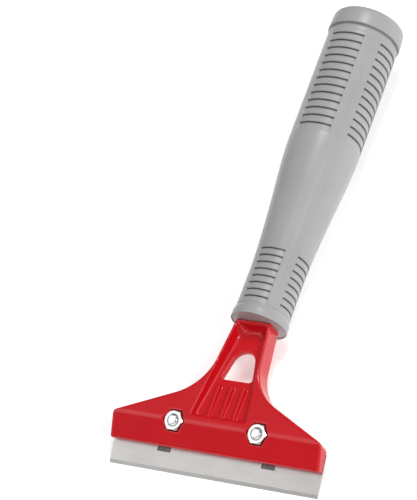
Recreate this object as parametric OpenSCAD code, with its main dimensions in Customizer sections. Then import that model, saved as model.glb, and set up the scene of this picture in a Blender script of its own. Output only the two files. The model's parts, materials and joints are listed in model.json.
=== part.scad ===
// Floor scraper: a wide clamped blade in a die-cast head on a hollow moulded handle.
//
// Pieces are drawn in the tool's own frame and then laid on the floor by lay_down():
//   x across the blade, y rearward, z up the handle's axis, with z = 0 where the head meets the grip.
// blade_frame() turns to the blade: x along the edge, y up the blade, z out of its front face.
// The blade's front face lies at z = 0 of that frame and its sharp edge at y = 0.

/* [Blade] */
// Width of the blade and of the head
blade_w = 100; // [80:1:125]
// Height of the blade from its sharp edge to its top edge
blade_h = 18; // [16:0.5:22]
// Thickness of the blade
blade_t = 0.6; // [0.4:0.05:1]
// Height of the ground bevel above the sharp edge
bevel_h = 1.6; // [0.8:0.1:2.4]
// Width of the two slots that locate the blade
slot_w = 6.4; // [4:0.1:8]
// Distance between the centres of the two slots
slot_spacing = 50; // [40:1:60]
// Height of the slots' closed end above the sharp edge
slot_floor = 8.3; // [7.5:0.1:9.5]

/* [Head] */
// Height of blade left showing below the casting
blade_reach = 10.2; // [9.8:0.1:12.5]
// Thickness of the casting at its lower lip
lip_t = 4; // [3:0.1:5]
// Thickness of the casting at its crest, along the bolts
crest_t = 6.75; // [6.2:0.05:8]
// Height of the crest above the bolts
crest_rise = 0.3; // [0.2:0.05:0.8]
// Angle between the blade and the handle's axis
bend = 15; // [10:0.5:20]
// Length of the neck from the grip down to the crest
neck_len = 49.2; // [44:0.2:60]
// Width of the neck where it meets the grip
neck_w = 16.6; // [15.6:0.2:18]
// Thickness of the neck
neck_t = 9.4; // [8.4:0.1:10.6]
// How far the neck's front face stands in front of the handle's axis
neck_front = 5.5; // [4.5:0.1:6.2]
// Angle at which each side of the neck spreads
neck_flare = 7; // [6:0.5:10]
// Slope of the wings' top edges
wing_slope = 25; // [23:1:28]
// Height of the wing tips above the crest
wing_rise = 0.3; // [0.2:0.1:2]
// Radius of the hollow between neck and wing
wing_fillet = 23; // [12:0.5:25]

/* [Pocket and window] */
// Depth of the pocket in the neck's front, at its top
pocket_depth = 4.6; // [4:0.1:5]
// Depth of the pocket at its bottom, where its sloping floor comes nearer to the front
pocket_low_depth = 2.8; // [2.4:0.1:3.2]
// Thickness of the web behind the pocket, at its top
web_t = 2.2; // [1.6:0.1:3]
// Width of metal left between the pocket and the top of the neck's sides
rim_w = 1; // [0.8:0.1:2]
// Angle at which each side of the pocket spreads
pocket_flare = 7.5; // [5:0.5:8]
// How far the pocket's sloping walls reach in at the bottom
pocket_draft = 2; // [1:0.1:2.6]
// Drop from the grip to the pocket's top edge
pocket_top = 1.2; // [0.8:0.1:4]
// Height of the pocket's bottom edge above the crest
pocket_base = 3.4; // [2.6:0.1:6]
// Radius of the window's arched top
window_r = 5.6; // [4:0.1:6.2]
// Drop from the grip to the top of the window's arch
window_top = 12.8; // [10:0.1:16]
// Height of the window
window_h = 13.8; // [10:0.1:15]
// Half of the window's width at its foot
window_foot = 7.2; // [5:0.1:7.6]
// Radius of the window's lower corners
window_corner = 1.9; // [1:0.1:3]
// Number of ribs below the window
rib_count = 3; // [1:1:5]
// Distance between the ribs' centres
rib_pitch = 6; // [3:0.1:7]
// Thickness of a rib
rib_w = 1.9; // [1:0.1:2.4]
// Drop from the neck's front face to a rib's edge
rib_inset = 1.7; // [1:0.1:2]
// Gap between the window's foot and the ribs
rib_gap = 3.2; // [1:0.1:6]

/* [Clamp] */
// Thickness of the rear clamp plate
plate_t = 1.5; // [1.2:0.1:1.8]
// How far the plate stops short of the head's ends
plate_inset = 1.2; // [0:0.1:2]
// Height of the plate's lower edge above the sharp edge
plate_low = 7.8; // [6:0.1:8]
// Height of the plate's lugs, which sit in the blade's slots
lug_h = 0.45; // [0.2:0.05:0.5]
// Length of the plate's lugs up the blade
lug_len = 7; // [4:0.1:8]
// Distance between the clamp bolts
bolt_spacing = 40; // [34:0.5:48]
// Thread diameter of the clamp bolts
bolt_d = 5; // [4:0.5:5]
// Length of the clamp bolts under the head
bolt_len = 11.4; // [11:0.1:12.4]
// Width across the flats of the nuts
nut_af = 8; // [7:0.5:8]
// Height of the nuts
nut_h = 4; // [3:0.1:4.2]
// Diameter of the bolt heads
bolt_head_d = 9; // [8:0.1:9.5]
// Height of the bolt heads
bolt_head_h = 2.3; // [1.9:0.1:2.4]
// Outer diameter of the washers
washer_d = 10; // [9:0.1:11]
// Thickness of the flat washers
washer_t = 0.8; // [0.6:0.1:1]
// Thickness of the split spring washers
spring_t = 1.1; // [0.8:0.1:1.2]

/* [Grip] */
// Length of the grip without its cap
grip_len = 142; // [130:1:160]
// Outer radius of the rim at the grip's lower end
rim_r = 12.4; // [12.2:0.1:13.5]
// Radius of the waist
waist_r = 11.65; // [11.4:0.05:12]
// Height of the waist above the grip's lower end
waist_z = 24; // [18:0.5:30]
// Radius of the barrel
barrel_r = 15.75; // [15:0.05:18]
// Height at which the barrel reaches its full radius
barrel_z = 86; // [78:1:92]
// Wall thickness of the hollow barrel
grip_wall = 3; // [2:0.1:3.4]
// Number of steps in each upper ladder
upper_steps = 13; // [8:1:14]
// Height of one upper step
upper_pitch = 3.8; // [3:0.05:4]
// Number of steps in each lower ladder
lower_steps = 8; // [5:1:9]
// Height of one lower step
lower_pitch = 3.25; // [2.6:0.05:3.4]
// Depth of the ladder steps
step_h = 0.5; // [0.2:0.05:0.8]
// Angle around the grip that one ladder covers
ladder_arc = 61; // [45:1:70]
// Number of ladders around the grip
ladder_count = 4; // [2:1:4]

/* [Handle fixing] */
// Width of the tang inside the grip
tang_w = 15; // [13:0.1:15.4]
// Thickness of the tang
tang_t = 8.2; // [7.4:0.1:8.6]
// Length of the tang inside the grip
tang_len = 40; // [34:0.5:42]
// Thickness of the bulkhead that the handle screw bears on
bulkhead_t = 5; // [4:0.5:6]
// Thread diameter of the handle screw
screw_d = 5; // [4:0.5:5]
// Length of the handle screw under its head
screw_len = 25; // [20:1:30]

/* [End cap] */
// Height of the cap above the grip
cap_h = 9; // [7:0.5:12]
// Outer radius of the cap
cap_r = 16.4; // [15.8:0.1:18.6]
// Radius of the rounded outer edge of the cap
cap_round = 2.5; // [1:0.1:3]
// Length of the plug that enters the grip
plug_len = 11; // [8:0.5:14]
// Wall of the plug
plug_wall = 2; // [1.4:0.1:2.6]
// Width of the shadow groove between cap and grip
groove_w = 0.9; // [0.5:0.1:1.5]
// Depth of the shadow groove
groove_d = 0.9; // [0.4:0.1:1.4]

/* [Clearances] */
// Radial clearance of a bolt in its hole through the casting and the plate
hole_clear = 0.25; // [0.15:0.05:0.4]
// Radial clearance that stands for the thread in a nut
thread_clear = 0.08; // [0.05:0.01:0.1]
// Gap around a nut in its recess
nut_gap = 0.5; // [0.2:0.05:0.55]
// Gap between the blade's top edge and the bolts
bolt_gap = 0.7; // [0.4:0.1:1]
// Gap between the blade's top edge and the step of its seat
seat_gap = 0.3; // [0.1:0.05:0.4]
// Height by which the blade stands proud of the land above it, so that the plate nips it
nip = 0.05; // [0.02:0.01:0.1]
// Gap on each side of a lug in its slot
lug_gap = 0.2; // [0.1:0.05:0.3]
// Gap around the tang in its socket
tang_gap = 0.15; // [0.1:0.05:0.2]
// Radial clearance of the cap's plug in the barrel
plug_gap = 0.08; // [0.05:0.01:0.1]

/* [Hidden] */
$fn = 96;
eps = 0.01;
bury = 0.5;

// Clamp, measured in the blade's frame
bolt_r = bolt_d / 2;
bolt_up = blade_h + bolt_gap + bolt_r;
plate_margin = 8.1;
plate_top = bolt_up + plate_margin;
plate_side = blade_h + 1.2;
shoulder_up = plate_top + 0.7;
land_drop = blade_t - nip;
plate_back = blade_t + plate_t;
nut_sink = 0.15;
nut_top = crest_t - nut_sink;
nut_floor = nut_top - nut_h;
nut_chamfer = [0.1, 0.35];
bolt_tip = 0.4;
bolt_cross = [5, 1.1, 1.5];
under_head = plate_back + washer_t + spring_t;
split_w = 0.9;
split_angle = 30;
head_edge = 0.35;

// Place of the blade's sharp edge in the tool's frame, from the crest
crest_up = bolt_up + crest_rise;
edge_y = -neck_front + crest_up * sin(bend) + crest_t * cos(bend);
edge_z = -neck_len - crest_up * cos(bend) + crest_t * sin(bend);
function from_blade(up, out) =
    [edge_y - up * sin(bend) - out * cos(bend), edge_z + up * cos(bend) - out * sin(bend)];

// Head
head_w = blade_w;
neck_rear = neck_t - neck_front;
shoulder_out = (edge_y - shoulder_up * sin(bend) - neck_rear) / cos(bend);
wing_tip = [head_w / 2, wing_rise - neck_len];
meet_drop = (-wing_tip[1] - (wing_tip[0] - neck_w / 2) * tan(wing_slope))
    / (1 - tan(neck_flare) * tan(wing_slope));
meet = [neck_w / 2 + meet_drop * tan(neck_flare), -meet_drop];
turn = 90 - neck_flare - wing_slope;
tangent_len = wing_fillet * tan(turn / 2);
on_neck = meet - tangent_len * [sin(neck_flare), -cos(neck_flare)];
on_wing = meet + tangent_len * [cos(wing_slope), -sin(wing_slope)];
fillet_c = on_neck + wing_fillet * [cos(neck_flare), sin(neck_flare)];
pocket_low = pocket_base - neck_len;
rear_depth = neck_t - pocket_depth - web_t;
rear_inset = [1, 1.4];
rear_margin = [1, 3];
window_mid = -window_top - window_r;
window_low = -window_top - window_h;
rib_top = window_low - rib_gap;
rib_root = 4;
low_draft = pocket_draft * pocket_low_depth / pocket_depth;
pocket_strip = 1;

// Grip
grip_rim_edge = 0.8;
grip_rim_h = 3.4;
waist_in = 6;
waist_pull = [28, 0.65];
barrel_pull = 14;
curve_steps = 14;
step_lip = 0.1;
ladder_over = 1.2;
upper_top = grip_len - 5;
lower_top = 31.8;
socket_len = tang_len + 1;
cavity_low = socket_len + bulkhead_t;
bore_r = barrel_r - grip_wall;
thread_depth = 22;
screw_head_d = 9.5;
screw_head_h = 3.2;
screw_cross = [5.4, 1.2, 1.9];
cavity_step = 2;

// Resting on the floor: the rim of the grip and the blade's sharp edge touch it
tip = from_blade(0, -blade_t / 2);
rest_tilt = atan2(rim_r - tip[0], grip_rim_edge - tip[1]);
floor_z = rim_r * cos(rest_tilt) - grip_rim_edge * sin(rest_tilt);
far_y = (grip_len + cap_h - cap_round) * cos(rest_tilt)
    + (cap_r - cap_round) * sin(rest_tilt) + cap_round;
near_y = tip[1] * cos(rest_tilt) + tip[0] * sin(rest_tilt);

// ---- Frames ----

// Lays the tool on its back, front face up, centred over the origin
module lay_down() {
    translate([0, -(far_y + near_y) / 2, floor_z]) rotate([rest_tilt - 90, 0, 0]) children();
}

module blade_frame() {
    translate([0, edge_y, edge_z]) rotate([90 + bend, 0, 0]) children();
}

// One clamp bolt's frame: side is -1 for the left bolt and 1 for the right one
module bolt_frame(side) {
    blade_frame() translate([side * bolt_spacing / 2, bolt_up, 0]) children();
}

// The neck seen from the front: x across, y up, extruded rearward from a depth behind the front face
module from_front(depth, length) {
    translate([0, depth - neck_front, 0]) rotate([90, 0, 0]) mirror([0, 0, 1])
        linear_extrude(length) children();
}

// ---- Shared shapes ----

// Points along an arc about c, from one angle to another
function arc(c, r, from, to, steps = 12) =
    [for (i = [0 : steps]) let (a = from + (to - from) * i / steps) c + r * [cos(a), sin(a)]];

// Angle at which the outer tangent of two circles, the first one larger, touches them both
function tangent_angle(a, ra, b, rb) =
    let (d = b - a) atan2(d[1], d[0]) + acos((ra - rb) / norm(d));

// A window with an arched top, sides that lie along both circles, and rounded lower corners
module arched_window(mid, r, foot, low, corner) {
    right = [foot - corner, low + corner];
    side = tangent_angle([0, mid], r, right, corner);
    polygon(concat(
        arc([0, mid], r, side, 180 - side, 24),
        arc([-right[0], right[1]], corner, 180 - side, 270),
        arc(right, corner, -90, side)));
}

module ring(outer_r, inner_r, t) {
    difference() {
        cylinder(r = outer_r, h = t);
        translate([0, 0, -eps]) cylinder(r = inner_r, h = t + 2 * eps);
    }
}

module split_ring(outer_r, inner_r, t) {
    difference() {
        ring(outer_r, inner_r, t);
        rotate(split_angle) translate([0, -split_w / 2, -eps]) cube([outer_r + eps, split_w, t + 2 * eps]);
    }
}

// Cross recess in the top of a screw head at z = 0, cut downward: size is its width, slot and depth
module cross_recess(size) {
    for (a = [0, 90]) rotate(a) translate([-size[0] / 2, -size[1] / 2, -size[2]])
        cube([size[0], size[1], size[2] + eps]);
}

module pan_head(d, h) {
    edge = h * head_edge;
    rotate_extrude() polygon([[0, 0], [d / 2, 0], [d / 2, h - edge], [d / 2 - edge, h], [0, h]]);
}

// ---- Head ----

// Section of the casting across the blade: y rearward, z up
module head_section() {
    rotate([90, 0, 90]) linear_extrude(head_w, center = true) polygon([
        from_blade(blade_reach, lip_t),
        [-neck_front, -neck_len],
        [-neck_front, 0],
        [neck_rear, 0],
        from_blade(shoulder_up, shoulder_out),
        from_blade(shoulder_up, -land_drop),
        from_blade(blade_h + seat_gap, -land_drop),
        from_blade(blade_h + seat_gap, 0),
        from_blade(blade_reach, 0)
    ]);
}

// Neck and wings seen from the front
module head_outline() {
    low = edge_z - 1;
    right = concat(
        [[neck_w / 2, 0]],
        arc(fillet_c, wing_fillet, 180 + neck_flare, 270 - wing_slope),
        [wing_tip, [head_w / 2, low]]);
    last = len(right) - 1;
    polygon(concat(right, [for (i = [0 : last]) [-right[last - i][0], right[last - i][1]]]));
}

// Half of the pocket's width at a drop from the grip, drawn in from its edge
function pocket_half(drop, inset) = neck_w / 2 - rim_w + drop * tan(pocket_flare) - inset;

// The pocket's outline between two drops from the grip
module pocket_band(top, bottom, inset) {
    polygon([[-pocket_half(top, inset), -top], [pocket_half(top, inset), -top],
        [pocket_half(bottom, inset), -bottom], [-pocket_half(bottom, inset), -bottom]]);
}

// Its walls narrow evenly as they go in, and its floor slopes toward the front lower down
module front_pocket() {
    high = pocket_top + pocket_draft;
    low = -pocket_low - low_draft;
    hull() {
        from_front(-eps, eps) pocket_band(pocket_top, -pocket_low, 0);
        from_front(pocket_depth - eps, eps) pocket_band(high, high + pocket_strip, pocket_draft);
        from_front(pocket_low_depth - eps, eps) pocket_band(low - pocket_strip, low, low_draft);
    }
}

module rear_pocket() {
    top = pocket_top + rear_margin[0];
    low = -from_blade(shoulder_up, shoulder_out)[1] - rear_margin[1];
    hull() {
        from_front(neck_t - rear_depth, eps) pocket_band(top + rear_inset[1], low - rear_inset[1], pocket_draft);
        from_front(neck_t, eps) pocket_band(top, low, rear_inset[0]);
    }
}

module ribs() {
    for (i = [0 : rib_count - 1]) {
        x = (i - (rib_count - 1) / 2) * rib_pitch;
        from_front(rib_inset, rib_root - rib_inset) polygon(concat(
            [[x - rib_w / 2, pocket_low], [x + rib_w / 2, pocket_low]],
            arc([x, rib_top - rib_w / 2], rib_w / 2, 0, 180)));
    }
}

module head_casting() color("firebrick") lay_down() difference() {
    union() {
        difference() {
            intersection() {
                head_section();
                from_front(-1, neck_t + 30) head_outline();
            }
            front_pocket();
            rear_pocket();
        }
        ribs();
        translate([-tang_w / 2, (neck_rear - neck_front - tang_t) / 2, -bury])
            cube([tang_w, tang_t, tang_len + bury]);
    }
    from_front(-1, neck_t + 2)
        arched_window(window_mid, window_r, window_foot, window_low, window_corner);
    for (s = [-1, 1]) bolt_frame(s) {
        translate([0, 0, -1]) cylinder(r = bolt_r + hole_clear, h = crest_t);
        translate([0, 0, nut_floor]) cylinder(r = (nut_af / 2 + nut_gap) / cos(30), h = nut_h * 2, $fn = 6);
    }
    translate([0, (neck_rear - neck_front) / 2, tang_len - thread_depth])
        cylinder(r = screw_d / 2, h = thread_depth + 1);
}

// ---- Clamp ----

module clamp_plate() color("dimgray") lay_down() blade_frame() {
    half = head_w / 2 - plate_inset;
    top_half = half - (plate_top - plate_side) / tan(wing_slope);
    translate([0, 0, -plate_back]) linear_extrude(plate_t) difference() {
        polygon([
            [-half, plate_low], [half, plate_low], [half, plate_side],
            [top_half, plate_top], [-top_half, plate_top], [-half, plate_side]
        ]);
        for (s = [-1, 1]) translate([s * bolt_spacing / 2, bolt_up]) circle(bolt_r + hole_clear);
    }
    for (s = [-1, 1])
        translate([s * slot_spacing / 2 - slot_w / 2 + lug_gap, slot_floor + lug_gap, -blade_t - bury])
            cube([slot_w - 2 * lug_gap, lug_len, lug_h + bury]);
}

module blade() color("gainsboro") lay_down() blade_frame() difference() {
    rotate([90, 0, 90]) linear_extrude(blade_w, center = true) polygon([
        [0, -blade_t / 2], [bevel_h, -blade_t], [blade_h, -blade_t], [blade_h, 0], [bevel_h, 0]
    ]);
    for (s = [-1, 1]) translate([s * slot_spacing / 2 - slot_w / 2, slot_floor, -blade_t - 1])
        cube([slot_w, blade_h, blade_t + 2]);
}

module clamp_bolt(side) color("silver") lay_down() bolt_frame(side) {
    translate([0, 0, -under_head]) rotate_extrude() polygon([
        [0, 0], [bolt_r - thread_clear, 0], [bolt_r - thread_clear, bolt_len - bolt_tip],
        [bolt_r - thread_clear - bolt_tip, bolt_len], [0, bolt_len]
    ]);
    translate([0, 0, -under_head]) rotate([180, 0, 0]) difference() {
        pan_head(bolt_head_d, bolt_head_h);
        translate([0, 0, bolt_head_h]) cross_recess(bolt_cross);
    }
}

module clamp_nut(side) color("whitesmoke") lay_down() bolt_frame(side)
    translate([0, 0, nut_floor]) difference() {
        intersection() {
            cylinder(r = nut_af / 2 / cos(30), h = nut_h, $fn = 6);
            rotate_extrude() polygon([
                [0, 0], [nut_af / 2 / cos(30), 0], [nut_af / 2 / cos(30), nut_h - nut_chamfer[1]],
                [nut_af / 2 - nut_chamfer[0], nut_h], [0, nut_h]
            ]);
        }
        translate([0, 0, -1]) cylinder(r = bolt_r, h = nut_h + 2);
    }

module flat_washer(side) color("silver") lay_down() bolt_frame(side)
    translate([0, 0, -plate_back - washer_t]) ring(washer_d / 2, bolt_r + hole_clear, washer_t);

module spring_washer(side) color("silver") lay_down() bolt_frame(side)
    translate([0, 0, -under_head]) split_ring(bolt_head_d / 2, bolt_r + hole_clear / 2, spring_t);

// ---- Grip ----

// Outer radius of the plain grip from the waist to the barrel: a smooth curve between the two
function grip_curve(t) =
    let (
        p0 = [waist_r, waist_z],
        p1 = [waist_r + waist_pull[1], waist_z + waist_pull[0]],
        p2 = [barrel_r, barrel_z - barrel_pull],
        p3 = [barrel_r, barrel_z]
    )
    pow(1 - t, 3) * p0 + 3 * pow(1 - t, 2) * t * p1 + 3 * (1 - t) * t * t * p2 + pow(t, 3) * p3;
swell = [for (i = [0 : curve_steps]) grip_curve(i / curve_steps)];

module grip_body() {
    rotate_extrude() polygon(concat(
        [[0, 0], [rim_r - grip_rim_edge, 0], [rim_r, grip_rim_edge], [rim_r, grip_rim_h],
            [waist_r + 0.1, waist_in]],
        swell,
        [[barrel_r, grip_len - groove_w], [barrel_r - groove_d, grip_len - groove_w],
            [barrel_r - groove_d, grip_len], [0, grip_len]]));
}

// Room cut away for one ladder. Each step starts deep under the one above it and slopes out again
// to the surface, so that the grip keeps a row of edges that face the blade.
module ladder(top, pitch, steps, r, depth) {
    rotate_extrude(angle = ladder_arc) polygon(concat(
        [[r + ladder_over, top]],
        [for (i = [0 : steps - 1]) for (p = [
            [r - depth, top - i * pitch], [r + step_lip, top - (i + 1) * pitch]]) p],
        [[r + ladder_over, top - steps * pitch]]));
}

module grip_cavity() {
    inside = [for (p = swell) if (p[1] > cavity_low + cavity_step) [p[0] - grip_wall, p[1]]];
    rotate_extrude() polygon(concat(
        [[0, cavity_low], [inside[0][0], cavity_low]],
        inside,
        [[bore_r, grip_len + 1], [0, grip_len + 1]]));
}

module grip() color("darkgray") lay_down() difference() {
    grip_body();
    for (i = [0 : ladder_count - 1]) rotate(i * 360 / ladder_count - 90 - ladder_arc / 2) {
        ladder(upper_top, upper_pitch, upper_steps, barrel_r, step_h);
        ladder(lower_top, lower_pitch, lower_steps, waist_r + 0.1, step_h);
    }
    grip_cavity();
    translate([-tang_w / 2 - tang_gap, (neck_rear - neck_front - tang_t) / 2 - tang_gap, -1])
        cube([tang_w + 2 * tang_gap, tang_t + 2 * tang_gap, socket_len + 1]);
    translate([0, (neck_rear - neck_front) / 2, 0])
        cylinder(r = screw_d / 2 + hole_clear, h = cavity_low + 1);
}

// ---- Handle fixing ----

module screw_frame(up) {
    lay_down() translate([0, (neck_rear - neck_front) / 2, cavity_low + up]) children();
}

module handle_screw() color("silver") screw_frame(washer_t + spring_t) {
    translate([0, 0, -screw_len]) cylinder(r = screw_d / 2 - thread_clear, h = screw_len + bury);
    difference() {
        pan_head(screw_head_d, screw_head_h);
        translate([0, 0, screw_head_h]) cross_recess(screw_cross);
    }
}

module handle_washer() color("silver") screw_frame(0)
    ring(washer_d / 2, screw_d / 2 + hole_clear, washer_t);

module handle_spring_washer() color("silver") screw_frame(washer_t)
    split_ring(bolt_head_d / 2, screw_d / 2 + hole_clear / 2, spring_t);

module end_cap() color("darkgray") lay_down() translate([0, 0, grip_len]) {
    plug_r = bore_r - plug_gap;
    rotate_extrude() {
        polygon([
            [0, 0], [cap_r, 0], [cap_r, cap_h - cap_round],
            [cap_r - cap_round, cap_h], [0, cap_h]
        ]);
        translate([cap_r - cap_round, cap_h - cap_round]) circle(cap_round);
    }
    translate([0, 0, -plug_len]) ring(plug_r, plug_r - plug_wall, plug_len + bury);
}

head_casting();
clamp_plate();
blade();
clamp_bolt(-1);  // clamp_bolt_left
clamp_bolt(1);  // clamp_bolt_right
clamp_nut(-1);  // clamp_nut_left
clamp_nut(1);  // clamp_nut_right
flat_washer(-1);  // flat_washer_left
flat_washer(1);  // flat_washer_right
spring_washer(-1);  // spring_washer_left
spring_washer(1);  // spring_washer_right
grip();
end_cap();
handle_screw();
handle_washer();
handle_spring_washer();
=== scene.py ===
"""Floor scraper: the visual pieces, finishes, lights and camera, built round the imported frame.

Lengths are in millimetres and turn into metres where a mesh is made. Shapes are worked out in the
tool's own frame: x across the blade, y rearward, z up the handle, with z = 0 where the head meets
the grip. ToolFrame carries that frame into the row frame from the record's joints and mounts.
"""

from __future__ import annotations

import json
import logging
import math
from dataclasses import dataclass, field
from enum import Enum
from itertools import product

import bmesh
import bpy
import numpy as np
from mathutils import Matrix, Vector

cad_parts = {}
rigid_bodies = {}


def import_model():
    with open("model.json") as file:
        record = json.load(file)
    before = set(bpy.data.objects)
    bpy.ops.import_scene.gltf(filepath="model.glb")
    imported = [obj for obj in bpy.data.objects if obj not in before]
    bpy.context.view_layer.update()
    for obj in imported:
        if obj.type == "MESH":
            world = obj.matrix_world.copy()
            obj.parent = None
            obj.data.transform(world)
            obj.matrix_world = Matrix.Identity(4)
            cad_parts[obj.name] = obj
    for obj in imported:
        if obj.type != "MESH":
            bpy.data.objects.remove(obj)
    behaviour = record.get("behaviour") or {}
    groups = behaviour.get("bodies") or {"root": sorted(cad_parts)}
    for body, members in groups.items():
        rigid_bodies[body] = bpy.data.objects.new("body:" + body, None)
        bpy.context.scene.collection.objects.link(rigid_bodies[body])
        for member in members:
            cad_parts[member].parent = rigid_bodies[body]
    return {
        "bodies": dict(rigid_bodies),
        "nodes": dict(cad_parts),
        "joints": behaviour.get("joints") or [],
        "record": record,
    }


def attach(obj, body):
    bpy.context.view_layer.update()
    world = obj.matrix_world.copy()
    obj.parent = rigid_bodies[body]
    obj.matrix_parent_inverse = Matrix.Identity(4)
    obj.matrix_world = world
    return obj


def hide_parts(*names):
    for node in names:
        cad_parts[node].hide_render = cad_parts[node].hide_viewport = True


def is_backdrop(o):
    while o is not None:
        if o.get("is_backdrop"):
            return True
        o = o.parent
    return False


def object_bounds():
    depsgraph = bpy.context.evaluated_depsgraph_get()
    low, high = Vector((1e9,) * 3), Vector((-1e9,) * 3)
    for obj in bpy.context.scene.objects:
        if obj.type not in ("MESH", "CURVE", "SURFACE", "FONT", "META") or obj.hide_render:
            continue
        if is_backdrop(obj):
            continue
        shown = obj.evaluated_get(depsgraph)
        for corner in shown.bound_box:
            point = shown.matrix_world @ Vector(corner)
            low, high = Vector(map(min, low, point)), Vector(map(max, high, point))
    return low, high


MM = 0.001
LOG = logging.getLogger("floor_scraper")
# Name of the grip's point attribute that masks the painted shade under each ladder step's edge.
SUNK = "sunk"


class Side(Enum):
    """Which of a pair a piece is, with its sign along x."""

    LEFT = -1
    RIGHT = 1

    @property
    def word(self) -> str:
        """The side's name as the CAD nodes spell it."""
        return self.name.lower()


class Slot(Enum):
    """The record's material slots."""

    RED_PAINT = "red_paint"
    DARK_STEEL = "dark_steel"
    BLADE_STEEL = "blade_steel"
    BRIGHT_ZINC = "bright_zinc"
    ZINC_PLATE = "zinc_plate"
    GREY_PLASTIC = "grey_plastic"
    CAP_PLASTIC = "cap_plastic"


# ---- Frames ----


@dataclass(frozen=True)
class ToolFrame:
    """Axes and origins of the tool and of its blade in the row frame.

    Args:
        origin: where the handle's axis meets the head, in metres.
        back: unit vector rearward.
        up: unit vector up the handle.
        edge: middle of the blade's sharp edge on its front face, in metres.
        blade_up: unit vector up the blade.
        blade_out: unit vector out of the blade's front face.
    """

    origin: np.ndarray
    back: np.ndarray
    up: np.ndarray
    edge: np.ndarray
    blade_up: np.ndarray
    blade_out: np.ndarray

    @classmethod
    def from_record(cls, record: dict, handle_len: float, bolt_up: float) -> "ToolFrame":
        """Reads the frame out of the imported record.

        Args:
            record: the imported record.
            handle_len: length of grip and cap together, in mm.
            bolt_up: height of the bolts above the sharp edge, in mm.

        Returns:
            The tool's frame.
        """
        joints = {j["name"]: j for j in record["behaviour"]["joints"]}
        mounts = {m["name"]: m for m in record["mounts"]}
        up = cls._unit(joints["cap_pull"]["axis"])
        blade_up = -cls._unit(joints["blade_slide"]["axis"])
        blade_out = -cls._unit(joints["clamp_release"]["axis"])
        bolts = [np.array(joints[f"bolt_{s.word}_turn"]["pos_m"], float) for s in Side]
        origin = np.array(mounts["cap_end"]["pos_m"], float) - up * handle_len * MM
        edge = (bolts[0] + bolts[1]) / 2 - blade_up * bolt_up * MM
        return cls(origin, np.array([0.0, up[2], -up[1]]), up, edge, blade_up, blade_out)

    @staticmethod
    def _unit(v: list[float]) -> np.ndarray:
        """A vector at length 1."""
        a = np.array(v, float)
        return a / np.linalg.norm(a)

    def place(self, points: np.ndarray) -> np.ndarray:
        """Carries points (N, 3) in mm of the tool's frame into the row frame, in metres."""
        p = np.asarray(points, float) * MM
        return self.origin + np.outer(p[:, 0], [1, 0, 0]) + np.outer(p[:, 1], self.back) \
            + np.outer(p[:, 2], self.up)

    def place_blade(self, points: np.ndarray) -> np.ndarray:
        """Carries points (across, up the blade, out of its face) in mm into the row frame, in metres."""
        p = np.asarray(points, float) * MM
        return self.edge + np.outer(p[:, 0], [1, 0, 0]) + np.outer(p[:, 1], self.blade_up) \
            + np.outer(p[:, 2], self.blade_out)

    def blade_coords(self, y: np.ndarray, z: np.ndarray) -> tuple[np.ndarray, np.ndarray]:
        """Height up the blade and distance out of its face, in mm, of points given by y and z."""
        edge = (self.edge - self.origin) / MM
        ey, ez = edge @ self.back, edge @ self.up
        uy, uz = self.blade_up @ self.back, self.blade_up @ self.up
        ny, nz = self.blade_out @ self.back, self.blade_out @ self.up
        return (y - ey) * uy + (z - ez) * uz, (y - ey) * ny + (z - ez) * nz


# ---- Meshes ----


def make_object(name: str, verts: np.ndarray, faces: list[np.ndarray],
                sharp: float = 32.0) -> bpy.types.Object:
    """Puts arrays of vertices and faces into a new mesh object with smooth faces and sharp edges.

    Args:
        name: the object's name.
        verts: (N, 3) places in metres.
        faces: arrays (M, k) of vertex numbers, each array with faces of one size k.
        sharp: angle in degrees past which an edge is shaded sharp.

    Returns:
        The new object, linked into the scene.
    """
    mesh = bpy.data.meshes.new(name)
    loops = np.concatenate([f.ravel() for f in faces]).astype(np.int32)
    sizes = np.concatenate([np.full(len(f), f.shape[1]) for f in faces]).astype(np.int32)
    starts = np.concatenate([[0], np.cumsum(sizes)[:-1]]).astype(np.int32)
    mesh.vertices.add(len(verts))
    mesh.vertices.foreach_set("co", np.ascontiguousarray(verts, np.float32).ravel())
    mesh.loops.add(len(loops))
    mesh.loops.foreach_set("vertex_index", loops)
    mesh.polygons.add(len(sizes))
    mesh.polygons.foreach_set("loop_start", starts)
    mesh.polygons.foreach_set("loop_total", sizes)
    mesh.polygons.foreach_set("use_smooth", np.ones(len(sizes), bool))
    mesh.update(calc_edges=True)
    mesh.validate()
    mesh.set_sharp_from_angle(angle=math.radians(sharp))
    obj = bpy.data.objects.new(name, mesh)
    bpy.context.scene.collection.objects.link(obj)
    return obj


def grid_faces(rows: int, cols: int, wrap_rows: bool, start: int = 0) -> np.ndarray:
    """Faces of a grid of rows by cols vertices whose columns close round into a ring.

    Args:
        rows: number of rows.
        cols: number of columns.
        wrap_rows: whether the last row joins the first.
        start: number of the grid's first vertex.

    Returns:
        (M, 4) vertex numbers, facing out when columns turn anticlockwise and rows run upward outside.
    """
    r = np.arange(rows if wrap_rows else rows - 1)[:, None]
    c = np.arange(cols)[None, :]
    nr, nc = (r + 1) % rows, (c + 1) % cols
    quads = np.stack(np.broadcast_arrays(r * cols + c, r * cols + nc, nr * cols + nc, nr * cols + c), -1)
    return quads.reshape(-1, 4) + start


def revolve(name: str, rows: np.ndarray, closed: bool = True) -> bpy.types.Object:
    """Makes a mesh of a grid of points (rows, cols, 3), in metres, whose columns close round.

    Args:
        name: the object's name.
        rows: the grid. Rows run up the outside and, if closed, back down the inside.
        closed: whether the last row joins the first. If not, each end is closed by a fan.

    Returns:
        The new object.
    """
    count, cols = rows.shape[:2]
    verts = rows.reshape(-1, 3)
    if closed:
        return make_object(name, verts, [grid_faces(count, cols, True)])
    ends = np.array([rows[0].mean(0), rows[-1].mean(0)])
    c = np.arange(cols)
    n = (c + 1) % cols
    base = count * cols
    low = np.stack([np.full(cols, base), n, c], 1)
    top = (count - 1) * cols
    high = np.stack([np.full(cols, base + 1), top + c, top + n], 1)
    return make_object(name, np.vstack([verts, ends]), [grid_faces(count, cols, False), low, high])


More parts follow.
